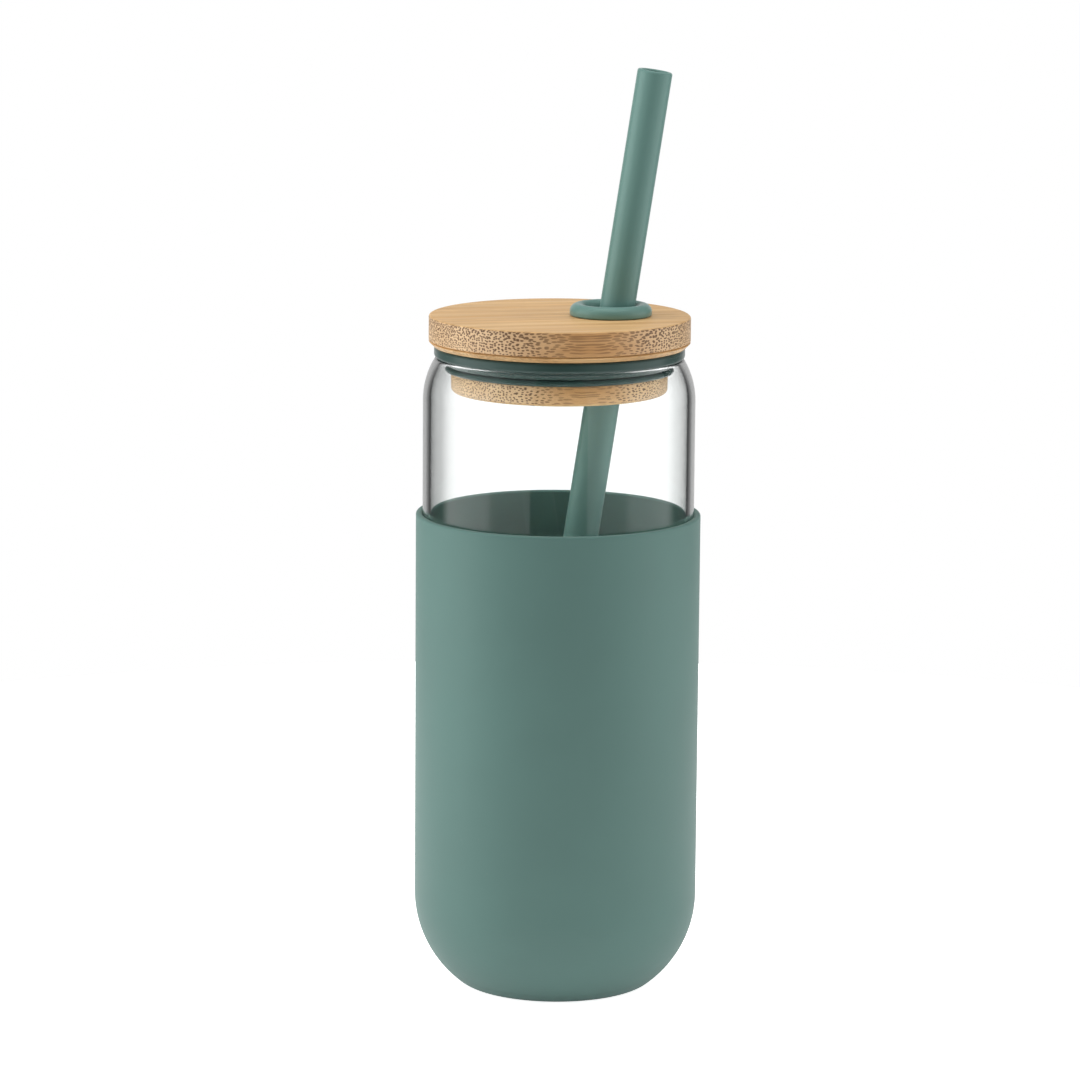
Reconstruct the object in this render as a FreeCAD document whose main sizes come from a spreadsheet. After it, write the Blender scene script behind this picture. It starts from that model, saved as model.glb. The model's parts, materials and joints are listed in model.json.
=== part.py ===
import FreeCAD, Part
import math
import os
import Sketcher

# A glass tumbler in a silicone sleeve, with a turned bamboo lid, a flanged silicone seal,
# a silicone grommet round the straw hole and a silicone drinking straw.
# Millimetres, +Z up. The origin is the centre of the sleeve's base, where the bottle stands.

doc = FreeCAD.newDocument("water_bottle")

# ---------------------------------------------------------------- sizes
# The driving sizes, each a plain number under its own name.
DRIVING = [
    ("fit_gap", 0.05),  # between two sub-parts that touch
    ("glass_radius", 38.15),
    ("glass_height", 177.5),
    ("glass_wall", 2.15),
    ("glass_floor", 4.7),
    ("base_flat_radius", 24.0),
    ("base_bend_radius", 4.45),
    ("base_curve_radius", 29.55),
    ("inner_corner_radius", 20.0),
    ("shoulder_height", 12.0),
    ("shoulder_radius", 22.0),  # of the arc that draws the wall in to the mouth
    ("sleeve_wall", 1.8),
    ("sleeve_height", 135.3),
    ("sleeve_rim_round", 0.6),
    ("lid_overhang", 1.53),  # of the disc past the glass's lip
    ("lid_thickness", 8.55),
    ("lid_chamfer", 1.3),
    ("lid_top_round", 0.6),
    ("plug_play", 2.72),  # between the plug and the glass's mouth
    ("plug_depth", 12.9),
    ("plug_round", 1.3),
    ("groove_depth", 1.4),
    ("seal_band", 1.75),  # thickness of the ring behind its ribs
    ("flange_thickness", 3.2),  # of the seal's top, between the lid and the glass's lip
    ("flange_round", 1.0),
    ("high_rib_round", 1.0),  # the rib that presses on the glass's mouth
    ("low_rib_round", 0.85),
    ("low_rib_set_in", 1.05),  # how far the low rib stands inside the high one
    ("rib_gap", 0.2),
    ("hole_offset", 14.2),  # from the lid's axis to the straw hole
    ("hole_radius", 7.0),
    ("bead_width", 4.5),
    ("bead_height", 3.4),
    ("bead_foot_round", 0.6),
    ("grommet_neck_wall", 1.5),
    ("grommet_neck_depth", 9.0),
    ("lid_bore_play", 0.3),  # how much wider the lid's own bore is than the grommet's hole
    ("straw_radius", 4.9),
    ("straw_bore_radius", 3.5),
    ("straw_length", 255.0),
    ("straw_end_round", 0.3),
    ("straw_play", 0.33),  # between the leaning straw and the hole's edge
]

# Sizes that follow from the driving ones, as spreadsheet formulas.
DERIVED = [
    ("glass_base", "=sleeve_wall + fit_gap"),
    ("glass_bore", "=glass_radius - glass_wall"),
    ("shoulder_start", "=glass_height - shoulder_height"),
    # The lip is the rounded end of the curved wall.
    ("lip_round", "=glass_wall / 2"),
    ("lip_reach", "=sqrt((shoulder_radius - lip_round) ^ 2 - (shoulder_height - lip_round) ^ 2)"),
    ("lip_middle", "=glass_radius - shoulder_radius + lip_reach"),
    ("lip_radius", "=lip_middle + lip_round"),
    ("mouth_radius", "=lip_middle - lip_round"),
    ("sleeve_bore", "=glass_radius + fit_gap"),
    ("sleeve_radius", "=sleeve_bore + sleeve_wall"),
    ("lid_level", "=glass_base + glass_height + flange_thickness + 2 * fit_gap"),
    ("lid_radius", "=lip_radius + lid_overhang"),
    ("plug_radius", "=mouth_radius - plug_play"),
    ("groove_radius", "=plug_radius - groove_depth"),
    ("seal_bore", "=groove_radius + fit_gap"),
    ("seal_band_radius", "=seal_bore + seal_band"),
    ("high_rib_radius", "=mouth_radius - fit_gap"),
    ("low_rib_radius", "=high_rib_radius - low_rib_set_in"),
    ("seal_height", "=flange_thickness + 2 * (rib_gap + high_rib_round + low_rib_round)"),
    ("groove_height", "=seal_height + 2 * fit_gap"),
    ("bead_radius", "=hole_radius + bead_width"),
    ("bead_round", "=bead_width / 2"),
    ("grommet_neck_radius", "=hole_radius + grommet_neck_wall"),
    ("counterbore_radius", "=grommet_neck_radius + fit_gap"),
    ("counterbore_depth", "=grommet_neck_depth + fit_gap"),
    ("lid_bore_radius", "=hole_radius + lid_bore_play"),
    ("lid_top", "=lid_level + lid_thickness"),
    # The hole that the straw leans in runs from the plug's end to half way up the bead.
    ("hole_half", "=(lid_thickness + bead_height / 2 + plug_depth) / 2"),
    ("hole_middle", "=lid_level - plug_depth + hole_half"),
    # The straw leans until it nears the hole's two ends, or until its foot reaches the edge of
    # the glass's flat floor, whichever comes first.
    ("hole_reach", "=sqrt((hole_radius - straw_play) ^ 2 + hole_half ^ 2)"),
    ("lean_in_hole", "=acos(straw_radius / hole_reach) - atan(hole_half / (hole_radius - straw_play))"),
    ("foot_reach", "=hole_offset + glass_bore - inner_corner_radius"),
    ("lean_on_floor", "=atan(foot_reach / (hole_middle - glass_base - glass_floor))"),
    ("straw_lean", "=min(lean_in_hole; lean_on_floor)"),
    # The straw stands on the glass's floor by the lowest point of its rim, and its axis crosses
    # the hole's axis half way down the hole.
    ("straw_foot", "=glass_base + glass_floor + fit_gap + straw_radius * sin(straw_lean)"),
    ("straw_foot_offset", "=hole_offset - (hole_middle - straw_foot) * tan(straw_lean)"),
]

sizes = doc.addObject("Spreadsheet::Sheet", "Sizes")
row = 1
for name, value in DRIVING:
    sizes.set("A%d" % row, name)
    sizes.set("B%d" % row, str(value))
    sizes.setAlias("B%d" % row, name)
    row += 1
for name, formula in DERIVED:
    sizes.set("A%d" % row, name)
    sizes.set("B%d" % row, formula)
    sizes.setAlias("B%d" % row, name)
    row += 1
doc.recompute()


def size(name):
    return float(sizes.get(name))  # millimetres


# ---------------------------------------------------------------- sketch helpers
START, END, CENTRE = 1, 2, 3
ORIGIN = (-1, 1)


def new_body(label):
    body = doc.addObject("PartDesign::Body", label)
    body.Label = label
    return body


def plane_of(body, role):
    for feature in body.Origin.OriginFeatures:
        if feature.Role == role:
            return feature
    raise RuntimeError("no plane " + role)


def new_sketch(body, name, role="XZ_Plane"):
    sketch = body.newObject("Sketcher::SketchObject", name)
    sketch.AttachmentSupport = [(plane_of(body, role), "")]
    sketch.MapMode = "FlatFace"
    return sketch


class Outline:
    """A closed run of lines and arcs, each starting where the last one ended."""

    def __init__(self, sketch, start):
        self.sketch = sketch
        self.start = start
        self.here = start
        self.pieces = []

    def line(self, x, z):
        a = FreeCAD.Vector(self.here[0], self.here[1], 0)
        b = FreeCAD.Vector(x, z, 0)
        index = self.sketch.addGeometry(Part.LineSegment(a, b), False)
        return self._added(index, START, END, (x, z))

    def arc(self, via, x, z):
        a = FreeCAD.Vector(self.here[0], self.here[1], 0)
        m = FreeCAD.Vector(via[0], via[1], 0)
        b = FreeCAD.Vector(x, z, 0)
        index = self.sketch.addGeometry(Part.Arc(a, m, b), False)
        # A sketch arc always runs anticlockwise, so a clockwise one is entered at its end.
        turn = (m - a).cross(b - m).z
        first, last = (START, END) if turn > 0 else (END, START)
        return self._added(index, first, last, (x, z))

    def _added(self, index, first, last, there):
        self.pieces.append((index, first, last))
        self.here = there
        return index

    def close(self, smooth):
        """Join every piece to the next one, with a tangent where the pair is in smooth."""
        count = len(self.pieces)
        for place in range(count):
            a, _, a_last = self.pieces[place]
            b, b_first, _ = self.pieces[(place + 1) % count]
            kind = "Tangent" if (a, b) in smooth else "Coincident"
            self.sketch.addConstraint(Sketcher.Constraint(kind, a, a_last, b, b_first))


def bind(sketch, constraint, label, expression):
    place = sketch.addConstraint(constraint)
    sketch.renameConstraint(place, label)
    sketch.setExpression("Constraints." + label, expression)


def place_x(sketch, geometry, point, label, expression):
    now = sketch.getPoint(geometry, point).x
    offset = Sketcher.Constraint("DistanceX", ORIGIN[0], ORIGIN[1], geometry, point, now)
    bind(sketch, offset, label, expression)


def place_z(sketch, geometry, point, label, expression):
    now = sketch.getPoint(geometry, point).y
    offset = Sketcher.Constraint("DistanceY", ORIGIN[0], ORIGIN[1], geometry, point, now)
    bind(sketch, offset, label, expression)


def place_depth(sketch, geometry, point, label, expression):
    """As place_z, for a point below the origin, with its depth as a positive size."""
    now = -sketch.getPoint(geometry, point).y
    offset = Sketcher.Constraint("DistanceY", geometry, point, ORIGIN[0], ORIGIN[1], now)
    bind(sketch, offset, label, expression)


def set_rise(sketch, line, label, expression):
    """Sets how far an upright line rises from its start to its end."""
    now = sketch.getPoint(line, END).y - sketch.getPoint(line, START).y
    bind(sketch, Sketcher.Constraint("DistanceY", line, START, line, END, now), label, expression)


def set_radius(sketch, geometry, label, expression):
    now = sketch.Geometry[geometry].Radius
    bind(sketch, Sketcher.Constraint("Radius", geometry, now), label, expression)


def level(sketch, *lines):
    for line in lines:
        sketch.addConstraint(Sketcher.Constraint("Horizontal", line))


def upright(sketch, *lines):
    for line in lines:
        sketch.addConstraint(Sketcher.Constraint("Vertical", line))


def on_axis(sketch, geometry, point):
    sketch.addConstraint(Sketcher.Constraint("PointOnObject", geometry, point, -2))


def at_origin(sketch, geometry, point):
    sketch.addConstraint(Sketcher.Constraint("Coincident", geometry, point, ORIGIN[0], ORIGIN[1]))


def turned(body, sketch, name):
    """A full turn of the sketch about the sub-part's upright axis."""
    feature = body.newObject("PartDesign::Revolution", name)
    feature.Profile = sketch
    feature.ReferenceAxis = (sketch, ["V_Axis"])
    feature.Angle = 360.0
    body.Tip = feature
    doc.recompute()
    return feature


def ring_edge(feature, radius, z):
    """The name of the circular edge of this radius, at this height and about the upright axis."""
    for place, edge in enumerate(feature.Shape.Edges):
        curve = edge.Curve
        if curve.TypeId == "Part::GeomCircle" and abs(curve.Radius - radius) < 0.01:
            if abs(edge.BoundBox.ZMin - z) < 0.01 and abs(edge.BoundBox.ZMax - z) < 0.01:
                return "Edge%d" % (place + 1)
    raise RuntimeError("no edge of radius %.2f at %.2f" % (radius, z))


def rounded(body, base, name, edges, expression):
    feature = body.newObject("PartDesign::Fillet", name)
    feature.Base = (base, edges)
    feature.setExpression("Radius", expression)
    body.Tip = feature
    doc.recompute()
    return feature


def chamfered(body, base, name, edges, expression):
    feature = body.newObject("PartDesign::Chamfer", name)
    feature.Base = (base, edges)
    feature.setExpression("Size", expression)
    body.Tip = feature
    doc.recompute()
    return feature


def circle(sketch, radius, label, expression):
    ring = Part.Circle(FreeCAD.Vector(0, 0, 0), FreeCAD.Vector(0, 0, 1), radius)
    index = sketch.addGeometry(ring, False)
    set_radius(sketch, index, label, expression)
    return index


# The two tangent arcs of the rounded base, for a cup of this radius, bend and curve.
def base_arcs(radius, bend, curve, low):
    flat = size("base_flat_radius")
    across = flat - (radius - curve)
    up = ((curve - bend) ** 2 - across**2) ** 0.5
    share_x, share_z = across / (curve - bend), up / (curve - bend)
    middle = (radius - curve, low + bend + up)  # centre of the larger arc
    join = (middle[0] + curve * share_x, middle[1] - curve * share_z)
    half_bend = ((share_x) / 2, -(share_z + 1) / 2)
    length = (half_bend[0] ** 2 + half_bend[1] ** 2) ** 0.5
    on_bend = (flat + bend * half_bend[0] / length, low + bend + bend * half_bend[1] / length)
    half_curve = ((share_x + 1) / 2, -share_z / 2)
    length = (half_curve[0] ** 2 + half_curve[1] ** 2) ** 0.5
    on_curve = (middle[0] + curve * half_curve[0] / length, middle[1] + curve * half_curve[1] / length)
    return middle, join, on_bend, on_curve


# ---------------------------------------------------------------- silicone sleeve
# A cup of even thickness, open at the top, that the tumbler is pushed into.
sleeve = new_body("silicone_sleeve")
sketch = new_sketch(sleeve, "SleeveProfile")
wall = size("sleeve_wall")
outer_bend = size("base_bend_radius") + size("fit_gap") + wall
outer_curve = size("base_curve_radius") + size("fit_gap") + wall
outer = base_arcs(size("sleeve_radius"), outer_bend, outer_curve, 0.0)
inner = base_arcs(size("sleeve_bore"), outer_bend - wall, outer_curve - wall, wall)
flat = size("base_flat_radius")
run = Outline(sketch, (0.0, 0.0))
under = run.line(flat, 0.0)
bend_out = run.arc(outer[2], outer[1][0], outer[1][1])
curve_out = run.arc(outer[3], size("sleeve_radius"), outer[0][1])
side_out = run.line(size("sleeve_radius"), size("sleeve_height"))
rim = run.line(size("sleeve_bore"), size("sleeve_height"))
side_in = run.line(size("sleeve_bore"), inner[0][1])
curve_in = run.arc(inner[3], inner[1][0], inner[1][1])
bend_in = run.arc(inner[2], flat, wall)
floor = run.line(0.0, wall)
run.line(0.0, 0.0)
run.close(
    {
        (under, bend_out),
        (bend_out, curve_out),
        (curve_out, side_out),
        (side_in, curve_in),
        (curve_in, bend_in),
        (bend_in, floor),
    }
)
at_origin(sketch, under, START)
level(sketch, under, rim, floor)
upright(sketch, side_out, side_in)
on_axis(sketch, floor, END)
place_x(sketch, under, END, "flat_out", "Sizes.base_flat_radius")
place_x(sketch, side_out, END, "radius_out", "Sizes.sleeve_radius")
place_z(sketch, side_out, END, "height", "Sizes.sleeve_height")
place_x(sketch, rim, END, "radius_in", "Sizes.sleeve_bore")
place_x(sketch, floor, START, "flat_in", "Sizes.base_flat_radius")
place_z(sketch, floor, START, "floor_top", "Sizes.sleeve_wall")
set_radius(sketch, bend_out, "bend_out", "Sizes.base_bend_radius + Sizes.fit_gap + Sizes.sleeve_wall")
set_radius(sketch, curve_out, "curve_out", "Sizes.base_curve_radius + Sizes.fit_gap + Sizes.sleeve_wall")
set_radius(sketch, bend_in, "bend_in", "Sizes.base_bend_radius + Sizes.fit_gap")
set_radius(sketch, curve_in, "curve_in", "Sizes.base_curve_radius + Sizes.fit_gap")
shell = turned(sleeve, sketch, "SleeveWall")
rim_edges = [
    ring_edge(shell, size("sleeve_radius"), size("sleeve_height")),
    ring_edge(shell, size("sleeve_bore"), size("sleeve_height")),
]
rounded(sleeve, shell, "SleeveRim", rim_edges, "Sizes.sleeve_rim_round")

# ---------------------------------------------------------------- glass tumbler
# Straight sides, a curved shoulder that draws in to a rounded lip, and a thick floor.
glass = new_body("glass_tumbler")
glass.setExpression("Placement.Base.z", "Sizes.glass_base")
sketch = new_sketch(glass, "GlassProfile")
radius, bore = size("glass_radius"), size("glass_bore")
start = size("shoulder_start")
corner, thick = size("inner_corner_radius"), size("glass_floor")
outer = base_arcs(radius, size("base_bend_radius"), size("base_curve_radius"), 0.0)
bend = size("shoulder_radius")
lip_round = size("lip_round")
lip_centre = (size("lip_middle"), size("glass_height") - lip_round)
lip_turn = math.atan2(lip_centre[1] - start, size("lip_reach"))


def on_shoulder(reach, turn):
    return radius - bend + reach * math.cos(turn), start + reach * math.sin(turn)


lip_foot = on_shoulder(bend, lip_turn)
lip_end = on_shoulder(bend - size("glass_wall"), lip_turn)
tip = (
    lip_centre[0] - lip_round * math.sin(lip_turn),
    lip_centre[1] + lip_round * math.cos(lip_turn),
)
run = Outline(sketch, (0.0, 0.0))
under = run.line(flat, 0.0)
bend_out = run.arc(outer[2], outer[1][0], outer[1][1])
curve_out = run.arc(outer[3], radius, outer[0][1])
side_out = run.line(radius, start)
shoulder_out = run.arc(on_shoulder(bend, lip_turn / 2), lip_foot[0], lip_foot[1])
lip = run.arc(tip, lip_end[0], lip_end[1])
shoulder_in = run.arc(on_shoulder(bend - size("glass_wall"), lip_turn / 2), bore, start)
side_in = run.line(bore, thick + corner)
diagonal = corner * (1 - 0.5**0.5)
corner_in = run.arc((bore - diagonal, thick + diagonal), bore - corner, thick)
floor = run.line(0.0, thick)
run.line(0.0, 0.0)
run.close(
    {
        (under, bend_out),
        (bend_out, curve_out),
        (curve_out, side_out),
        (side_out, shoulder_out),
        (shoulder_out, lip),
        (lip, shoulder_in),
        (shoulder_in, side_in),
        (side_in, corner_in),
        (corner_in, floor),
    }
)
at_origin(sketch, under, START)
level(sketch, under, floor)
upright(sketch, side_out, side_in)
on_axis(sketch, floor, END)
place_x(sketch, under, END, "flat", "Sizes.base_flat_radius")
set_radius(sketch, bend_out, "bend", "Sizes.base_bend_radius")
set_radius(sketch, curve_out, "curve", "Sizes.base_curve_radius")
place_x(sketch, side_out, END, "side_radius", "Sizes.glass_radius")
place_z(sketch, side_out, END, "shoulder_start", "Sizes.shoulder_start")
set_radius(sketch, shoulder_out, "shoulder", "Sizes.shoulder_radius")
place_z(sketch, lip, CENTRE, "lip_height", "Sizes.glass_height - Sizes.lip_round")
set_radius(sketch, shoulder_in, "shoulder_in", "Sizes.shoulder_radius - Sizes.glass_wall")
place_x(sketch, side_in, START, "bore_radius", "Sizes.glass_bore")
place_z(sketch, side_in, START, "shoulder_start_in", "Sizes.shoulder_start")
set_radius(sketch, corner_in, "corner", "Sizes.inner_corner_radius")
place_z(sketch, floor, END, "floor_top", "Sizes.glass_floor")
turned(glass, sketch, "GlassWall")

# ---------------------------------------------------------------- bamboo lid
# One turned piece: a disc that sits on the seal's flange, and a plug below it with a groove
# under the disc for the seal. Its own origin is on its axis at the disc's underside.
lid = new_body("bamboo_lid")
lid.setExpression("Placement.Base.z", "Sizes.lid_level")
sketch = new_sketch(lid, "LidProfile")
disc, thick = size("lid_radius"), size("lid_thickness")
plug, depth = size("plug_radius"), size("plug_depth")
groove, groove_z = size("groove_radius"), size("groove_height")
run = Outline(sketch, (0.0, -depth))
plug_end = run.line(plug, -depth)
plug_side = run.line(plug, -groove_z)
groove_step = run.line(groove, -groove_z)
groove_side = run.line(groove, 0.0)
underside = run.line(disc, 0.0)
disc_side = run.line(disc, thick)
disc_top = run.line(0.0, thick)
run.line(0.0, -depth)
run.close(set())
level(sketch, plug_end, groove_step, underside, disc_top)
upright(sketch, plug_side, groove_side, disc_side)
on_axis(sketch, plug_end, START)
on_axis(sketch, disc_top, END)
place_x(sketch, plug_end, END, "plug_radius", "Sizes.plug_radius")
place_depth(sketch, plug_end, START, "plug_depth", "Sizes.plug_depth")
place_depth(sketch, groove_step, START, "groove_height", "Sizes.groove_height")
place_x(sketch, groove_step, END, "groove_radius", "Sizes.groove_radius")
sketch.addConstraint(Sketcher.Constraint("PointOnObject", underside, START, -1))
place_x(sketch, underside, END, "disc_radius", "Sizes.lid_radius")
place_z(sketch, disc_side, END, "disc_thickness", "Sizes.lid_thickness")
blank = turned(lid, sketch, "LidBlank")
lid_hole = new_sketch(lid, "StrawHole", "XY_Plane")
ring = circle(lid_hole, size("lid_bore_radius"), "radius", "Sizes.lid_bore_radius")
lid_hole.addConstraint(Sketcher.Constraint("PointOnObject", ring, CENTRE, -1))
place_x(lid_hole, ring, CENTRE, "offset", "Sizes.hole_offset")
bored = lid.newObject("PartDesign::Pocket", "StrawBore")
bored.Profile = lid_hole
bored.Type = "ThroughAll"
bored.Midplane = True
lid.Tip = bored
doc.recompute()
seat = new_sketch(lid, "GrommetSeat", "XY_Plane")
seat.setExpression("AttachmentOffset.Base.z", "Sizes.lid_thickness")
ring = circle(seat, size("counterbore_radius"), "radius", "Sizes.counterbore_radius")
seat.addConstraint(Sketcher.Constraint("PointOnObject", ring, CENTRE, -1))
place_x(seat, ring, CENTRE, "offset", "Sizes.hole_offset")
counterbore = lid.newObject("PartDesign::Pocket", "GrommetBore")
counterbore.Profile = seat
counterbore.Type = "Length"
counterbore.setExpression("Length", "Sizes.counterbore_depth")
lid.Tip = counterbore
doc.recompute()
eased = chamfered(
    lid, counterbore, "DiscChamfer", [ring_edge(counterbore, disc, 0.0)], "Sizes.lid_chamfer"
)
eased = rounded(lid, eased, "DiscRound", [ring_edge(eased, disc, thick)], "Sizes.lid_top_round")
rounded(lid, eased, "PlugRound", [ring_edge(eased, plug, -depth)], "Sizes.plug_round")

# ---------------------------------------------------------------- seal ring
# A band in the plug's groove. Its top is a round-edged flange that the lid presses onto the
# glass's lip. Below that, a high rib wipes the glass's mouth and a lower rib eases it in.
# Its own origin is on its axis at the flange's top.
seal = new_body("seal_ring")
seal.setExpression("Placement.Base.z", "Sizes.lid_level - Sizes.fit_gap")
sketch = new_sketch(seal, "SealProfile")
inside, band = size("seal_bore"), size("seal_band_radius")
flange, deep = size("lip_radius"), size("flange_thickness")
high_tip, high_nose = size("high_rib_radius"), size("high_rib_round")
low_tip, low_nose = size("low_rib_radius"), size("low_rib_round")
gap, tall = size("rib_gap"), size("seal_height")
run = Outline(sketch, (inside, -tall))
low = run.line(low_tip - low_nose, -tall)
low_rib = run.arc((low_tip, low_nose - tall), low_tip - low_nose, 2 * low_nose - tall)
low_back = run.line(band, 2 * low_nose - tall)
low_valley = run.line(band, 2 * low_nose + gap - tall)
high_front = run.line(high_tip - high_nose, 2 * low_nose + gap - tall)
high_rib = run.arc((high_tip, -deep - gap - high_nose), high_tip - high_nose, -deep - gap)
high_back = run.line(band, -deep - gap)
high_valley = run.line(band, -deep)
flange_under = run.line(flange, -deep)
flange_face = run.line(flange, 0.0)
top = run.line(inside, 0.0)
back = run.line(inside, -tall)
run.close({(low, low_rib), (low_rib, low_back), (high_front, high_rib), (high_rib, high_back)})
level(sketch, low, low_back, high_front, high_back, flange_under, top)
upright(sketch, low_valley, high_valley, flange_face, back)
sketch.addConstraint(Sketcher.Constraint("PointOnObject", top, START, -1))
place_x(sketch, low, START, "bore", "Sizes.seal_bore")
set_radius(sketch, low_rib, "low_nose", "Sizes.low_rib_round")
place_x(sketch, low_rib, CENTRE, "low_rib", "Sizes.low_rib_radius - Sizes.low_rib_round")
place_x(sketch, low_valley, START, "low_band", "Sizes.seal_band_radius")
set_rise(sketch, low_valley, "low_gap", "Sizes.rib_gap")
set_radius(sketch, high_rib, "high_nose", "Sizes.high_rib_round")
place_x(sketch, high_rib, CENTRE, "high_rib", "Sizes.high_rib_radius - Sizes.high_rib_round")
place_x(sketch, high_valley, START, "high_band", "Sizes.seal_band_radius")
set_rise(sketch, high_valley, "high_gap", "Sizes.rib_gap")
place_x(sketch, flange_face, START, "flange", "Sizes.lip_radius")
set_rise(sketch, flange_face, "flange_thickness", "Sizes.flange_thickness")
seal_turn = turned(seal, sketch, "SealRing")
flange_edges = [ring_edge(seal_turn, flange, 0.0), ring_edge(seal_turn, flange, -deep)]
rounded(seal, seal_turn, "FlangeRound", flange_edges, "Sizes.flange_round")

# ---------------------------------------------------------------- straw grommet
# A round-topped bead that lies on the lid, with a tube below it that lines the hole.
# Its own origin is on the hole's axis at the lid's top.
grommet = new_body("straw_grommet")
grommet.setExpression("Placement.Base.x", "Sizes.hole_offset")
grommet.setExpression("Placement.Base.z", "Sizes.lid_top + Sizes.fit_gap")
sketch = new_sketch(grommet, "GrommetProfile")
hole, bead = size("hole_radius"), size("bead_radius")
tube, deep = size("grommet_neck_radius"), size("grommet_neck_depth")
round_z = size("bead_height") - size("bead_round")
run = Outline(sketch, (hole, -deep))
tube_end = run.line(tube, -deep)
tube_side = run.line(tube, 0.0)
seat_line = run.line(bead, 0.0)
bead_side = run.line(bead, round_z)
bead_top = run.arc((hole + size("bead_round"), size("bead_height")), hole, round_z)
hole_side = run.line(hole, -deep)
run.close({(bead_side, bead_top), (bead_top, hole_side)})
level(sketch, tube_end, seat_line)
upright(sketch, tube_side, bead_side, hole_side)
sketch.addConstraint(Sketcher.Constraint("PointOnObject", seat_line, START, -1))
place_x(sketch, tube_end, START, "hole", "Sizes.hole_radius")
place_x(sketch, tube_end, END, "tube", "Sizes.grommet_neck_radius")
place_depth(sketch, tube_end, END, "depth", "Sizes.grommet_neck_depth")
place_x(sketch, bead_side, START, "bead", "Sizes.bead_radius")
place_z(sketch, bead_side, END, "round_start", "Sizes.bead_height - Sizes.bead_round")
ring = turned(grommet, sketch, "GrommetRing")
rounded(grommet, ring, "BeadFoot", [ring_edge(ring, bead, 0.0)], "Sizes.bead_foot_round")

# ---------------------------------------------------------------- drinking straw
# A straight tube with softened ends. Its own origin is the centre of its lower end,
# and it leans across the tumbler towards the hole.
straw = new_body("drinking_straw")
sketch = new_sketch(straw, "StrawSection", "XY_Plane")
wall_ring = circle(sketch, size("straw_radius"), "outside", "Sizes.straw_radius")
bore_ring = circle(sketch, size("straw_bore_radius"), "inside", "Sizes.straw_bore_radius")
at_origin(sketch, wall_ring, CENTRE)
at_origin(sketch, bore_ring, CENTRE)
tube = straw.newObject("PartDesign::Pad", "StrawTube")
tube.Profile = sketch
tube.setExpression("Length", "Sizes.straw_length")
straw.Tip = tube
doc.recompute()
end_edges = [
    ring_edge(tube, ring_radius, end)
    for ring_radius in (size("straw_radius"), size("straw_bore_radius"))
    for end in (0.0, size("straw_length"))
]
rounded(straw, tube, "StrawEnds", end_edges, "Sizes.straw_end_round")
# The lean is a turn about the Y axis. A turn of no size forgets its axis, so it starts at one degree.
straw.Placement = FreeCAD.Placement(FreeCAD.Vector(), FreeCAD.Rotation(FreeCAD.Vector(0, 1, 0), 1.0))
straw.setExpression("Placement.Rotation.Angle", "Sizes.straw_lean")
straw.setExpression("Placement.Base.x", "Sizes.straw_foot_offset")
straw.setExpression("Placement.Base.z", "Sizes.straw_foot")

# ---------------------------------------------------------------- check and write
doc.recompute()
for thing in doc.Objects:
    for state in ("Invalid", "Error"):
        if state in thing.State:
            raise RuntimeError(thing.Name + " is " + state)
    if thing.TypeId == "Sketcher::SketchObject" and not thing.FullyConstrained:
        raise RuntimeError(thing.Name + " isn't fully constrained")

os.makedirs("parts", exist_ok=True)
for node in (sleeve, glass, seal, lid, grommet, straw):
    shape = node.Shape
    if shape.isNull() or not shape.isValid() or len(shape.Solids) != 1:
        raise RuntimeError(node.Label + " isn't one valid solid")
    shape.exportStep("parts/" + node.Label + ".step")
    box = shape.BoundBox
    spans = (box.XMin, box.XMax, box.YMin, box.YMax, box.ZMin, box.ZMax)
    print(node.Label, "%.1f" % shape.Volume, " ".join("%.2f" % v for v in spans))
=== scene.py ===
import json
import math

import bmesh
import bpy
from mathutils import Matrix, Vector


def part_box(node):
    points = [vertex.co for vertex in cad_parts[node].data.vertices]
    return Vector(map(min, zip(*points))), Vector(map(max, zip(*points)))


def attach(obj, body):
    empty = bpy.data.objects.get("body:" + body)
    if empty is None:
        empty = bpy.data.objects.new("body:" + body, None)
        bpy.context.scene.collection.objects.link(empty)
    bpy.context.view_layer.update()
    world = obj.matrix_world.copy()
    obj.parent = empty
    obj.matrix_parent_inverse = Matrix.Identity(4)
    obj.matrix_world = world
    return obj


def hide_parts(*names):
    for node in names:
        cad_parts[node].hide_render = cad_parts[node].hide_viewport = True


# A glass tumbler in a silicone sleeve, with a turned bamboo lid, a ribbed seal, a beaded straw
# hole and a leaning silicone straw. Lengths below are in millimetres, and every mesh is in metres.

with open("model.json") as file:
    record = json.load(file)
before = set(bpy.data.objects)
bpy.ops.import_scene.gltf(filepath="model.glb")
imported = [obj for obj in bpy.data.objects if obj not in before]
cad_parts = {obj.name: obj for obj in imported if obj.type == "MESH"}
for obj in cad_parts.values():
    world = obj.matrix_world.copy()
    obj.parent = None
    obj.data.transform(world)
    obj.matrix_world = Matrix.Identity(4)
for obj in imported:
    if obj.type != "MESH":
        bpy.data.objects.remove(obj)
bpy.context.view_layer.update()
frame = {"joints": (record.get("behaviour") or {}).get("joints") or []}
MM = 0.001


def span(node):
    """The lowest and highest corner of a CAD node, in millimetres."""
    low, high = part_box(node)
    return low / MM, high / MM


# ---------------------------------------------------------------- sizes
SLEEVE_LOW, SLEEVE_HIGH = span("silicone_sleeve")
GLASS_LOW, GLASS_HIGH = span("glass_tumbler")
SEAL_LOW, SEAL_HIGH = span("seal_ring")
LID_LOW, LID_HIGH = span("bamboo_lid")
GROMMET_LOW, GROMMET_HIGH = span("straw_grommet")

FIT_GAP = 0.05  # between pieces that seat on each other

SLEEVE_RADIUS = SLEEVE_HIGH.x
SLEEVE_WALL = 1.8
BASE_FLAT = 24.0
SLEEVE_BEND, SLEEVE_CURVE = 6.3, 31.4
RIM_ROUND = 0.6

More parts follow.
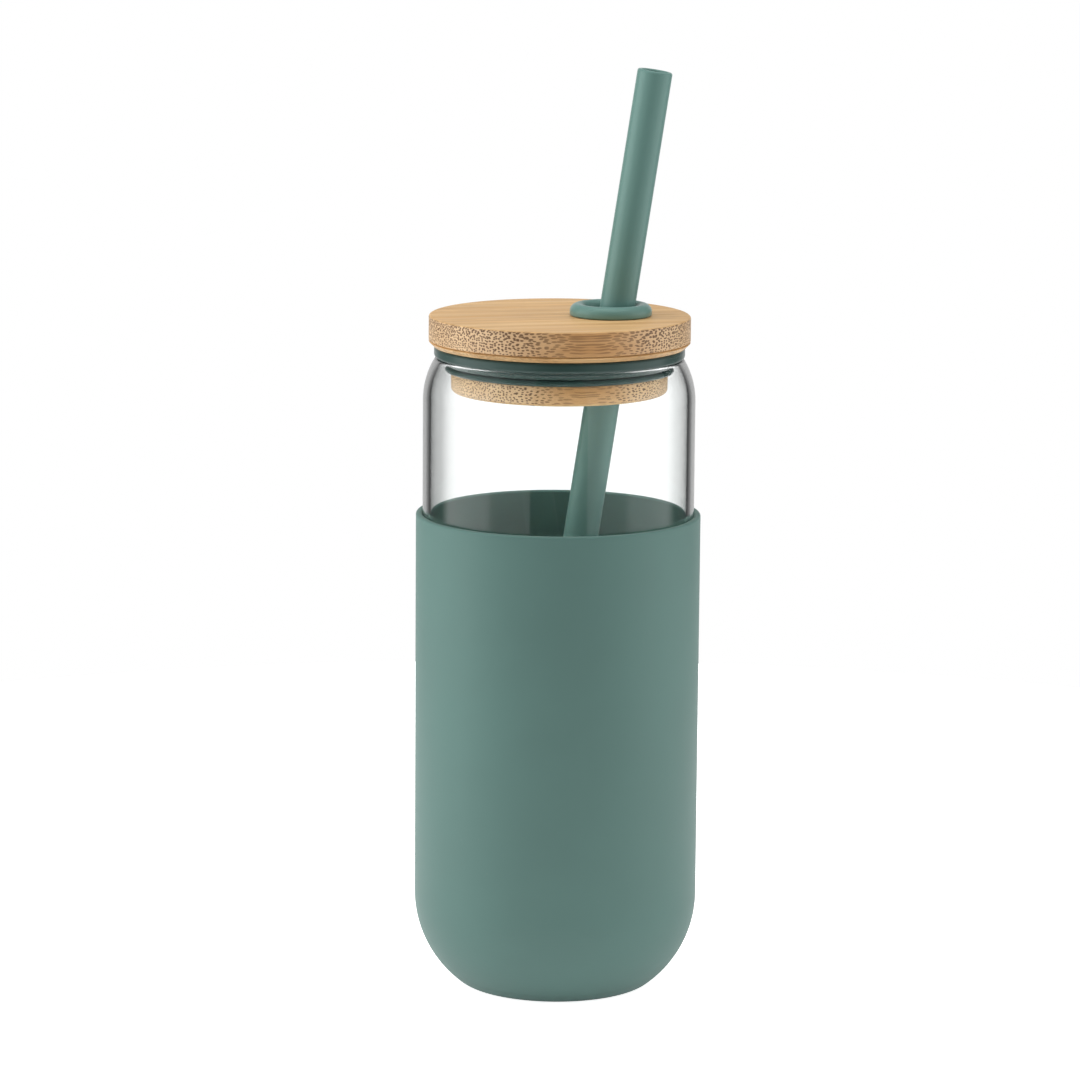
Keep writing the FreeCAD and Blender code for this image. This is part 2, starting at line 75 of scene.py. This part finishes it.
GLASS_RADIUS = GLASS_HIGH.x
GLASS_WALL = 2.15
GLASS_FLOOR = 4.7
GLASS_BEND, GLASS_CURVE = 4.45, 29.55
FLOOR_CORNER = 20.0
SHOULDER_HEIGHT, SHOULDER_CURVE = 12.0, 22.0
LIP_ROUND = GLASS_WALL / 2

LID_RADIUS = LID_HIGH.x
LID_UNDERSIDE = SEAL_HIGH.z + FIT_GAP
PLUG_RADIUS, GROOVE_RADIUS = 30.2, 28.8
DISC_CHAMFER, DISC_ROUND, PLUG_ROUND = 1.3, 0.6, 1.3
TURNED_LINE, LINE_DEPTH, LINE_EASE = 0.5, 0.6, 0.05  # the fine line cut above the disc's chamfer
HOLE_X = (GROMMET_LOW.x + GROMMET_HIGH.x) / 2
LID_BORE, BORE_CHAMFER = 7.3, 0.5

SEAL_BORE, SEAL_BAND = 28.85, 30.6
FLANGE_ROUND = 1.0
HIGH_RIB, LOW_RIB, RIB_GAP = 1.0, 0.85, 0.2
HIGH_TIP = GLASS_RADIUS - SHOULDER_CURVE - LIP_ROUND - FIT_GAP + math.sqrt(
    (SHOULDER_CURVE - LIP_ROUND) ** 2 - (SHOULDER_HEIGHT - LIP_ROUND) ** 2
)
LOW_RIB_SET_IN = 1.05
LOW_TIP = HIGH_TIP - LOW_RIB_SET_IN

HOLE_RADIUS = 7.0
BEAD_RADIUS = (GROMMET_HIGH.x - GROMMET_LOW.x) / 2
TUBE_RADIUS, TUBE_CHAMFER = 8.5, 0.3
BEAD_FOOT_ROUND = 0.6

STRAW_RADIUS, STRAW_BORE, STRAW_LENGTH = 4.9, 3.5, 255.0
STRAW_END_ROUND = 0.6
SLIDE = next(j for j in frame["joints"] if j["name"] == "straw_slide")
STRAW_AXIS = Vector(SLIDE["axis"]).normalized()

EASED_EDGE = 0.15  # the plug's edge at its groove
SAME_POINT = 1e-4  # points nearer than this are the same point
ROUND_STEPS, HOLE_STEPS, STRAW_STEPS = 224, 128, 72  # faces round a turned piece


# ---------------------------------------------------------------- turned pieces
def arc(centre, radius, start, end, steps):
    """Points on an arc from one angle to another, in degrees, both ends included."""
    points = []
    for i in range(steps + 1):
        angle = math.radians(start + (end - start) * i / steps)
        points.append((centre[0] + radius * math.cos(angle), centre[1] + radius * math.sin(angle)))
    return points


def tidy_outline(points):
    """Drops repeated points, and braces each long straight run near both ends, so shading stays flat."""
    kept = []
    for p in points:
        if not kept or math.dist(p, kept[-1]) > SAME_POINT:
            kept.append(p)
    if math.dist(kept[0], kept[-1]) < SAME_POINT:
        kept.pop()
    braced = []
    for i, a in enumerate(kept):
        b = kept[(i + 1) % len(kept)]
        braced.append(a)
        length = math.dist(a, b)
        if length > 1.0 and not (a[0] < 1e-6 and b[0] < 1e-6):
            inset = min(0.12, length / 8) / length
            pieces = max(1, round(length / 9.0))
            shares = [inset] + [i / pieces for i in range(1, pieces)] + [1 - inset]
            for share in shares:
                braced.append((a[0] + (b[0] - a[0]) * share, a[1] + (b[1] - a[1]) * share))
    return braced


def turned(name, outline, steps=ROUND_STEPS, axis_x=0.0):
    """A solid of revolution. Its outline is closed, anticlockwise in radius and height."""
    points = tidy_outline(outline)
    mesh = bmesh.new()
    rings = []
    for radius, z in points:
        if radius < 1e-6:
            rings.append([mesh.verts.new((axis_x * MM, 0, z * MM))])
            continue
        ring = []
        for i in range(steps):
            turn = 2 * math.pi * i / steps
            x, y = axis_x + radius * math.cos(turn), radius * math.sin(turn)
            ring.append(mesh.verts.new((x * MM, y * MM, z * MM)))
        rings.append(ring)
    for ring, above in zip(rings, rings[1:] + rings[:1]):
        if len(ring) == 1 and len(above) == 1:
            continue
        for i in range(steps):
            j = (i + 1) % steps
            if len(ring) == 1:
                mesh.faces.new((ring[0], above[j], above[i]))
            elif len(above) == 1:
                mesh.faces.new((ring[i], ring[j], above[0]))
            else:
                mesh.faces.new((ring[i], ring[j], above[j], above[i]))
    return finished(name, mesh)


def finished(name, mesh):
    bmesh.ops.recalc_face_normals(mesh, faces=mesh.faces)
    data = bpy.data.meshes.new(name)
    mesh.to_mesh(data)
    mesh.free()
    for face in data.polygons:
        face.use_smooth = True
    piece = bpy.data.objects.new(name, data)
    bpy.context.scene.collection.objects.link(piece)
    return piece


def base_outline(radius, bend, curve, low):
    """The rounded base of a cup, from its flat to the foot of its side, as two tangent arcs."""
    across = BASE_FLAT - (radius - curve)
    up = math.sqrt((curve - bend) ** 2 - across**2)
    join = math.degrees(math.atan2(-up, across))
    points = arc((BASE_FLAT, low + bend), bend, -90, join, 10)
    return points + arc((radius - curve, low + bend + up), curve, join, 0, 24)


# ---------------------------------------------------------------- the six pieces
def make_sleeve():
    inside, top = SLEEVE_RADIUS - SLEEVE_WALL, SLEEVE_HIGH.z
    outline = [(0, 0)] + base_outline(SLEEVE_RADIUS, SLEEVE_BEND, SLEEVE_CURVE, 0)
    outline += arc((SLEEVE_RADIUS - RIM_ROUND, top - RIM_ROUND), RIM_ROUND, 0, 90, 6)
    outline += arc((inside + RIM_ROUND, top - RIM_ROUND), RIM_ROUND, 90, 180, 6)
    hollow = base_outline(inside, SLEEVE_BEND - SLEEVE_WALL, SLEEVE_CURVE - SLEEVE_WALL, SLEEVE_WALL)
    return turned("sleeve_shell", outline + hollow[::-1] + [(0, SLEEVE_WALL)])


def make_glass():
    """Straight sides, one long arc in to the rounded lip, and a thick floor."""
    bore, low, top = GLASS_RADIUS - GLASS_WALL, GLASS_LOW.z, GLASS_HIGH.z
    centre = (GLASS_RADIUS - SHOULDER_CURVE, top - SHOULDER_HEIGHT)
    middle = SHOULDER_CURVE - LIP_ROUND
    turn = math.degrees(math.asin((SHOULDER_HEIGHT - LIP_ROUND) / middle))
    reach, rise = middle * math.cos(math.radians(turn)), middle * math.sin(math.radians(turn))
    floor = low + GLASS_FLOOR
    outline = [(0, low)] + base_outline(GLASS_RADIUS, GLASS_BEND, GLASS_CURVE, low)
    outline += arc(centre, SHOULDER_CURVE, 0, turn, 24)
    outline += arc((centre[0] + reach, centre[1] + rise), LIP_ROUND, turn, turn + 180, 16)
    outline += arc(centre, SHOULDER_CURVE - GLASS_WALL, turn, 0, 24)
    outline += arc((bore - FLOOR_CORNER, floor + FLOOR_CORNER), FLOOR_CORNER, 0, -90, 24)
    return turned("tumbler_glass", outline + [(0, floor)])


def make_lid():
    """The disc and plug, with the straw's bore cut through and a seat for the grommet's tube."""
    top, under, end = LID_HIGH.z, LID_UNDERSIDE, LID_LOW.z
    groove_z = SEAL_LOW.z - FIT_GAP
    line_z = under + DISC_CHAMFER
    outline = [(0, end)] + arc((PLUG_RADIUS - PLUG_ROUND, end + PLUG_ROUND), PLUG_ROUND, -90, 0, 8)
    outline += [(PLUG_RADIUS, groove_z - EASED_EDGE), (PLUG_RADIUS - EASED_EDGE, groove_z)]
    outline += [(GROOVE_RADIUS, groove_z), (GROOVE_RADIUS, under)]
    outline += [(LID_RADIUS - DISC_CHAMFER, under), (LID_RADIUS - LINE_EASE, line_z - LINE_EASE)]
    outline += [(LID_RADIUS - LINE_DEPTH, line_z + TURNED_LINE / 2), (LID_RADIUS, line_z + TURNED_LINE)]
    outline += arc((LID_RADIUS - DISC_ROUND, top - DISC_ROUND), DISC_ROUND, 0, 90, 8)
    lid = turned("lid_bamboo", outline + [(0, top)])
    seat, tube = GROMMET_LOW.z - FIT_GAP, TUBE_RADIUS + FIT_GAP
    wide, past = LID_BORE + BORE_CHAMFER, 5
    bore = [(0, end - past), (wide + past, end - past), (wide, end), (LID_BORE, end + BORE_CHAMFER)]
    bore += [(LID_BORE, seat), (tube, seat), (tube, top + past), (0, top + past)]
    cutter = turned("lid_cutter", bore, steps=96, axis_x=HOLE_X)
    cut = lid.modifiers.new("bore", "BOOLEAN")
    cut.operation = "DIFFERENCE"
    cut.object = cutter
    cut.solver = "EXACT"
    applied(lid)
    bpy.data.objects.remove(cutter)
    lid.data.set_sharp_from_angle(angle=math.radians(28))
    return lid


def applied(piece):
    """Replaces a piece's mesh with its modified mesh."""
    bpy.context.view_layer.update()
    depsgraph = bpy.context.evaluated_depsgraph_get()
    mesh = bpy.data.meshes.new_from_object(piece.evaluated_get(depsgraph))
    piece.modifiers.clear()
    piece.data = mesh


def make_seal():
    """A band with a flange that lies on the glass's lip, and two round ribs inside its mouth."""
    low, top, rim = SEAL_LOW.z, SEAL_HIGH.z, GLASS_HIGH.z + FIT_GAP
    outline = [(SEAL_BORE, low)] + arc((LOW_TIP - LOW_RIB, low + LOW_RIB), LOW_RIB, -90, 90, 16)
    high_z = rim - RIB_GAP - HIGH_RIB
    outline += [(SEAL_BAND, low + 2 * LOW_RIB), (SEAL_BAND, high_z - HIGH_RIB)]
    outline += arc((HIGH_TIP - HIGH_RIB, high_z), HIGH_RIB, -90, 90, 16)
    outline += [(SEAL_BAND, high_z + HIGH_RIB), (SEAL_BAND, rim)]
    edge = SEAL_HIGH.x - FLANGE_ROUND
    outline += arc((edge, rim + FLANGE_ROUND), FLANGE_ROUND, -90, 0, 10)
    outline += arc((edge, top - FLANGE_ROUND), FLANGE_ROUND, 0, 90, 10)
    seal = turned("seal_ribs", outline + [(SEAL_BORE, top)])
    seal.data.set_sharp_from_angle(angle=math.radians(40))
    return seal


def make_grommet():
    low, seat, top = GROMMET_LOW.z, LID_HIGH.z + FIT_GAP, GROMMET_HIGH.z
    half = (BEAD_RADIUS - HOLE_RADIUS) / 2
    middle = HOLE_RADIUS + half
    foot, ease = BEAD_FOOT_ROUND, TUBE_CHAMFER
    outline = [(HOLE_RADIUS, low), (TUBE_RADIUS - ease, low), (TUBE_RADIUS, low + ease), (TUBE_RADIUS, seat)]
    outline += arc((BEAD_RADIUS - foot, seat + foot), foot, -90, 0, 5)
    outline += arc((middle, top - half), half, 0, 180, 28)
    return turned("grommet_bead", outline, steps=HOLE_STEPS, axis_x=HOLE_X)


def make_straw():
    """A tube with softened ends, made upright and then leaned over its foot."""
    round_ = STRAW_END_ROUND
    outline = arc((STRAW_RADIUS - round_, round_), round_, -90, 0, 4)
    outline += arc((STRAW_RADIUS - round_, STRAW_LENGTH - round_), round_, 0, 90, 4)
    outline += arc((STRAW_BORE + round_, STRAW_LENGTH - round_), round_, 90, 180, 4)
    outline += arc((STRAW_BORE + round_, round_), round_, 180, 270, 4)
    straw = turned("straw_tube", outline, steps=STRAW_STEPS)
    low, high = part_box("drinking_straw")
    lean = Vector((0, 0, 1)).rotation_difference(STRAW_AXIS).to_matrix().to_4x4()
    middle = (low + high) / 2 - STRAW_AXIS * (STRAW_LENGTH / 2 * MM)
    straw.data.transform(Matrix.Translation(middle) @ lean)
    return straw


# ---------------------------------------------------------------- materials
def node(tree, kind, inputs=None, **settings):
    """A shader node with its settings and its inputs, each a value or a socket to link."""
    made = tree.nodes.new("ShaderNode" + kind)
    for key, value in settings.items():
        setattr(made, key, value)
    for key, value in (inputs or {}).items():
        if isinstance(value, bpy.types.NodeSocket):
            tree.links.new(value, made.inputs[key])
        else:
            made.inputs[key].default_value = value
    return made


def maths(tree, operation, first, second=0.0, clamp=False):
    made = node(tree, "Math", {0: first, 1: second}, operation=operation)
    made.use_clamp = clamp
    return made.outputs[0]


def ramp(tree, value, low, high, start=0.0, end=1.0):
    """value from low to high becomes start to end, and stays there outside."""
    inputs = {"Value": value, "From Min": low, "From Max": high, "To Min": start, "To Max": end}
    return node(tree, "MapRange", inputs, interpolation_type="SMOOTHSTEP").outputs["Result"]


def blend_colour(tree, share, first, second, mode="MIX"):
    made = node(tree, "Mix", data_type="RGBA", blend_type=mode)
    for place, value in ((0, share), (6, first), (7, second)):
        if isinstance(value, bpy.types.NodeSocket):
            tree.links.new(value, made.inputs[place])
        else:
            made.inputs[place].default_value = value
    return made.outputs[2]


def blend_number(tree, share, first, second):
    return node(tree, "Mix", {0: share, 2: first, 3: second}, data_type="FLOAT").outputs[0]


def noise(tree, vector, scale, detail=3.0, roughness=0.5):
    inputs = {"Vector": vector, "Scale": scale, "Detail": detail, "Roughness": roughness}
    return node(tree, "TexNoise", inputs).outputs["Fac"]


def bump(tree, height, distance, strength=1.0, normal=None):
    inputs = {"Height": height, "Distance": distance, "Strength": strength}
    if normal is not None:
        inputs["Normal"] = normal
    return node(tree, "Bump", inputs).outputs["Normal"]


def new_material(name):
    material = bpy.data.materials.new(name)
    material.use_nodes = True
    tree = material.node_tree
    tree.nodes.clear()
    shader = node(tree, "BsdfPrincipled")
    output = node(tree, "OutputMaterial")
    tree.links.new(shader.outputs[0], output.inputs["Surface"])
    return material, tree, shader, output


def own_place(tree):
    return node(tree, "TexCoord").outputs["Object"]


def silicone(name, colour, gloss):
    """Satin moulded silicone: a soft skin with a fine matt grain, faint clouds and a little dust."""
    material, tree, shader, _ = new_material(name)
    place = own_place(tree)
    clouds = noise(tree, place, 24.0, 3.0)
    grain = noise(tree, place, 4200.0, 2.0)
    waves = noise(tree, place, 40.0, 1.0)
    dust = node(tree, "TexVoronoi", {"Vector": place, "Scale": 420.0, "Randomness": 1.0})
    speck = ramp(tree, dust.outputs["Distance"], 0.05, 0.10, 1.0, 0.0)
    rare = ramp(tree, node(tree, "SeparateColor", {0: dust.outputs["Color"]}).outputs[0], 0.95, 0.97)
    speck = maths(tree, "MULTIPLY", speck, rare)
    darker = (*[c * 0.965 for c in colour], 1)
    lighter = (*[c * 1.035 for c in colour], 1)
    tone = blend_colour(tree, ramp(tree, clouds, 0.3, 0.7), darker, lighter)
    pale = (*[0.7 * c + 0.10 for c in colour], 1)
    tone = blend_colour(tree, maths(tree, "MULTIPLY", speck, 0.25), tone, pale)
    tree.links.new(tone, shader.inputs["Base Color"])
    tree.links.new(ramp(tree, clouds, 0.25, 0.75, gloss - 0.03, gloss + 0.03), shader.inputs["Roughness"])
    shader.inputs["IOR"].default_value = 1.43
    shader.inputs["Sheen Weight"].default_value = 0.08
    shader.inputs["Sheen Roughness"].default_value = 0.5
    skin = bump(tree, waves, 0.00003)
    tree.links.new(bump(tree, grain, 0.00001, 0.6, skin), shader.inputs["Normal"])
    return material


GRAIN_ANGLE = -13  # degrees from the lid's own left-to-right line
BUNDLES_PER_METRE = 1520.0
PALE_WOOD, MID_WOOD = (0.74, 0.49, 0.235, 1), (0.58, 0.345, 0.140, 1)
BOARD_WOOD, DARK_FIBRE = (0.50, 0.28, 0.12, 1), (0.09, 0.040, 0.016, 1)
# the first colour below darkens the lid's sides where the grain runs along them: painted shade; the second
# is the paler end grain
SHADED_LONG_GRAIN, END_GRAIN = (0.44, 0.20, 0.062, 1), (0.60, 0.44, 0.29, 1)


def bamboo():
    """Solid bamboo: fibre bundles run along the board, so they show as fine streaks along it and as
    dots where a face cuts across them, closer and darker towards the outside of the cane."""
    material, tree, shader, _ = new_material("turned_bamboo")
    grain_turn = (0, 0, math.radians(GRAIN_ANGLE))
    turn = node(tree, "Mapping", {"Vector": own_place(tree), "Rotation": grain_turn})
    along = node(tree, "SeparateXYZ", {0: turn.outputs[0]})
    long_, wide, high = along.outputs
    bend = maths(tree, "MULTIPLY", noise(tree, turn.outputs[0], 12.0, 1.0), 0.0012)
    wide = maths(tree, "ADD", wide, bend)
    wander = maths(tree, "MULTIPLY", noise(tree, turn.outputs[0], 170.0, 1.0), 0.0009)

    def stretched(share):
        along_it = maths(tree, "MULTIPLY", long_, share)
        return node(tree, "CombineXYZ", {0: along_it, 1: wide, 2: high}).outputs[0]

    across = node(tree, "CombineXYZ", {0: wide, 1: maths(tree, "ADD", high, wander)}).outputs[0]
    spacing = {"Vector": across, "Scale": BUNDLES_PER_METRE, "Randomness": 0.8}
    bundles = node(tree, "TexVoronoi", spacing, voronoi_dimensions="2D")
    distance = bundles.outputs["Distance"]
    which = node(tree, "SeparateColor", {0: bundles.outputs["Color"]}).outputs[0]
    outer = ramp(tree, high, LID_UNDERSIDE * MM, LID_HIGH.z * MM)
    reach = maths(tree, "ADD", maths(tree, "MULTIPLY", outer, 0.10), maths(tree, "MULTIPLY", which, 0.10))
    dot = maths(tree, "SUBTRACT", maths(tree, "ADD", reach, 0.30), distance)
    dot = ramp(tree, dot, 0.0, 0.12)
    fibres = noise(tree, stretched(0.02), 2200.0, 3.0, 0.6)
    streaks = noise(tree, stretched(0.04), 230.0, 4.0, 0.55)
    board = noise(tree, stretched(0.25), 42.0, 2.0)
    tone = blend_colour(tree, ramp(tree, streaks, 0.32, 0.68), MID_WOOD, PALE_WOOD)
    tone = blend_colour(tree, ramp(tree, board, 0.35, 0.75, 0.0, 0.35), tone, BOARD_WOOD)
    tone = blend_colour(tree, ramp(tree, fibres, 0.35, 0.65, 0.20, 0.0), tone, DARK_FIBRE)
    normal = node(tree, "TexCoord").outputs["Normal"]
    normal = node(tree, "Mapping", {"Vector": normal, "Rotation": grain_turn}).outputs[0]
    facing = node(tree, "SeparateXYZ", {0: normal})
    # Faces that are not level get their own tone. Where the face cuts across the fibres it is a paler end
    # grain. Where it runs along them it is a darker tone, which is painted shade on the lid's sides.
    flat = ramp(tree, maths(tree, "ABSOLUTE", facing.outputs[2]), 0.3, 0.9)
    end_grain = ramp(tree, maths(tree, "ABSOLUTE", facing.outputs[0]), 0.05, 0.75)
    cut = blend_colour(tree, end_grain, SHADED_LONG_GRAIN, END_GRAIN)
    tone = blend_colour(tree, ramp(tree, flat, 0.0, 1.0, 0.55, 0.0), tone, cut)
    dot = maths(tree, "MULTIPLY", dot, ramp(tree, flat, 0.0, 1.0, 0.90, 0.25))
    dot = maths(tree, "MULTIPLY", dot, ramp(tree, end_grain, 0.0, 0.8, 0.50, 1.0))
    tone = blend_colour(tree, dot, tone, DARK_FIBRE)
    tree.links.new(tone, shader.inputs["Base Color"])
    tree.links.new(ramp(tree, fibres, 0.3, 0.7, 0.38, 0.55), shader.inputs["Roughness"])
    relief = maths(tree, "SUBTRACT", maths(tree, "MULTIPLY", fibres, 0.6), dot)
    tree.links.new(bump(tree, relief, 0.00005, 0.5), shader.inputs["Normal"])
    shader.inputs["IOR"].default_value = 1.45
    return material


def clear_glass():
    """Clear soda glass with the faint waviness of a blown wall. Lamps shine through it."""
    material, tree, shader, output = new_material("clear_glass")
    place = own_place(tree)
    smears = noise(tree, place, 60.0, 4.0)
    tree.links.new(ramp(tree, smears, 0.45, 0.8, 0.0, 0.03), shader.inputs["Roughness"])
    shader.inputs["Base Color"].default_value = (0.975, 0.988, 0.984, 1)
    shader.inputs["Transmission Weight"].default_value = 1.0
    shader.inputs["IOR"].default_value = 1.5
    tree.links.new(bump(tree, noise(tree, place, 26.0, 1.0), 0.0001, 0.25), shader.inputs["Normal"])
    open_ = node(tree, "BsdfTransparent", {"Color": (0.965, 0.98, 0.975, 1)})
    path = node(tree, "LightPath")
    through = maths(tree, "MAXIMUM", path.outputs["Is Shadow Ray"], path.outputs["Is Diffuse Ray"])
    mixed = node(tree, "MixShader", {0: through, 1: shader.outputs[0], 2: open_.outputs[0]})
    tree.links.new(mixed.outputs[0], output.inputs["Surface"])
    return material


def floor_material():
    """A pale matt table top with a glow of its own, most of it towards the camera, and a faint mottling."""
    material, tree, shader, _ = new_material("pale_floor")
    mottle = noise(tree, own_place(tree), 6.0, 3.0)
    tone = blend_colour(tree, mottle, (0.90, 0.90, 0.90, 1), (0.93, 0.93, 0.93, 1))
    tree.links.new(tone, shader.inputs["Base Color"])
    tree.links.new(ramp(tree, mottle, 0.2, 0.8, 0.75, 0.9), shader.inputs["Roughness"])
    tree.links.new(tone, shader.inputs["Emission Color"])
    glow = ramp(tree, node(tree, "LightPath").outputs["Is Camera Ray"], 0.0, 1.0, 0.22, 0.95)
    tree.links.new(glow, shader.inputs["Emission Strength"])
    return material


# ---------------------------------------------------------------- assembly
PALE_GREEN = (0.083, 0.167, 0.148)
STRAW_GREEN = (0.115, 0.226, 0.201)
# the seal's green, far darker than the sleeve's: painted shade for the shadow it lies in under the lid
SHADED_SEAL_GREEN = (0.024, 0.055, 0.048)


def place_piece(piece, material, body, cad_node):
    piece.data.materials.clear()
    piece.data.materials.append(material)
    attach(piece, body)
    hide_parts(cad_node)


skin = silicone("sleeve_silicone", PALE_GREEN, 0.52)
place_piece(make_sleeve(), skin, "sleeve", "silicone_sleeve")
place_piece(make_glass(), clear_glass(), "tumbler", "glass_tumbler")
skin = silicone("seal_silicone", SHADED_SEAL_GREEN, 0.30)
place_piece(make_seal(), skin, "seal", "seal_ring")
place_piece(make_lid(), bamboo(), "lid", "bamboo_lid")
skin = silicone("grommet_silicone", STRAW_GREEN, 0.30)
place_piece(make_grommet(), skin, "grommet", "straw_grommet")
skin = silicone("straw_silicone", STRAW_GREEN, 0.32)
place_piece(make_straw(), skin, "straw", "drinking_straw")


# ---------------------------------------------------------------- studio
TABLE_RADIUS = 0.45
AIM_HEIGHT = 0.13  # the lamps point at the bottle's middle
FOCAL_LENGTH, SENSOR_WIDTH = 162.5, 36.0
CAMERA_PLACE, CAMERA_PITCH, CAMERA_ROLL = (-0.00506, -1.350, 0.3709), 90 - 10.227, 0.45


def make_floor():
    """A round white table top under the bottle, level with the surround's white."""
    mesh = bmesh.new()
    bmesh.ops.create_circle(mesh, cap_ends=True, segments=96, radius=TABLE_RADIUS)
    floor = finished("floor", mesh)
    floor.data.materials.append(floor_material())


def softbox(name, azimuth, height, distance, width, tall, radiance):
    """A rectangular lamp that faces the bottle. Azimuth is in degrees from the front, + to the right."""
    light = bpy.data.lights.new(name, "AREA")
    light.shape = "RECTANGLE"
    light.size, light.size_y = width, tall
    light.energy = radiance * math.pi * width * tall
    lamp = bpy.data.objects.new(name, light)
    angle = math.radians(azimuth)
    lamp.location = (distance * math.sin(angle), -distance * math.cos(angle), height)
    aim = Vector((0, 0, AIM_HEIGHT)) - lamp.location
    lamp.rotation_mode = "QUATERNION"
    lamp.rotation_quaternion = aim.to_track_quat("-Z", "Y")
    lamp.visible_camera = lamp.visible_transmission = lamp.visible_glossy = False
    bpy.context.scene.collection.objects.link(lamp)


def zones(tree, angle, first, steps):
    """A level that starts as first and moves to each step's level between its two angles."""
    total, level = first, first
    for begin, end, after in steps:
        total = maths(tree, "ADD", total, ramp(tree, angle, begin, end, 0.0, after - level))
        level = after
    return total


def make_world():
    """A white surround for the eye. In gloss it is two tall softboxes with a dark gap in front and
    dark flags behind them, and through glass it is a white backdrop between two narrow dark flags."""
    world = bpy.data.worlds.new("studio")
    bpy.context.scene.world = world
    world.use_nodes = True
    tree = world.node_tree
    tree.nodes.clear()
    way = node(tree, "SeparateXYZ", {0: node(tree, "TexCoord").outputs["Generated"]})
    angle = maths(tree, "ARCTAN2", way.outputs[0], maths(tree, "MULTIPLY", way.outputs[1], -1.0))
    angle = maths(tree, "DEGREES", angle)
    gloss = zones(tree, angle, 0.75, [
        (-155, -146, 0.08), (-118, -104, 1.6), (-66, -56, 0.75), (-25, -23.5, 0.05),
        (23.5, 25, 0.6), (56, 66, 1.2), (104, 118, 0.08), (146, 155, 0.75),
    ])
    gloss = maths(tree, "MULTIPLY", gloss, ramp(tree, way.outputs[2], 0.15, 0.40, 1.0, 0.30))
    above = ramp(tree, way.outputs[2], 0.80, 0.97)
    gloss = maths(tree, "MAXIMUM", gloss, maths(tree, "MULTIPLY", above, 1.2))
    through = zones(tree, angle, 1.3, [
        (-178, -169, 0.85), (-155, -151, 0.01), (-142, -137, 1.0),
        (137, 142, 0.01), (150, 154, 1.2), (166, 176, 1.3),
    ])
    through = maths(tree, "MULTIPLY", through, ramp(tree, way.outputs[2], 0.02, 0.20, 1.0, 0.10))
    path = node(tree, "LightPath")
    mirrored = maths(tree, "MINIMUM", path.outputs["Glossy Depth"], 1.0)
    behind_glass = maths(tree, "MINIMUM", path.outputs["Transmission Depth"], 1.0)
    gloss = maths(tree, "MULTIPLY", gloss, ramp(tree, behind_glass, 0.0, 1.0, 1.0, 0.35))
    level = blend_number(tree, path.outputs["Is Transmission Ray"], 1.0, through)
    level = blend_number(tree, mirrored, level, gloss)
    soft = ramp(tree, behind_glass, 0.0, 1.0, 0.42, 0.85)
    level = blend_number(tree, path.outputs["Is Diffuse Ray"], level, soft)
    background = node(tree, "Background", {"Color": (1, 1, 1, 1), "Strength": level})
    output = node(tree, "OutputWorld")
    tree.links.new(background.outputs[0], output.inputs["Surface"])


def make_camera():
    """In front and a little above the straw's top, looking down at the bottle, rolled by half a degree."""
    camera = bpy.data.cameras.new("camera")
    camera.sensor_width, camera.lens = SENSOR_WIDTH, FOCAL_LENGTH
    camera.clip_start, camera.clip_end = 0.05, 60.0
    holder = bpy.data.objects.new("camera", camera)
    holder.matrix_world = (
        Matrix.Translation(CAMERA_PLACE)
        @ Matrix.Rotation(math.radians(CAMERA_PITCH), 4, "X")
        @ Matrix.Rotation(math.radians(CAMERA_ROLL), 4, "Z")
    )
    bpy.context.scene.collection.objects.link(holder)
    bpy.context.scene.camera = holder


make_floor()
softbox("softbox_left", -88, 0.50, 1.1, 1.0, 1.6, 2.9)
softbox("softbox_right", 88, 0.50, 1.1, 1.0, 1.6, 1.7)
softbox("softbox_top", 0, 1.5, 0.1, 1.4, 1.4, 1.9)
make_world()
make_camera()
bpy.context.scene.view_settings.view_transform = "Standard"
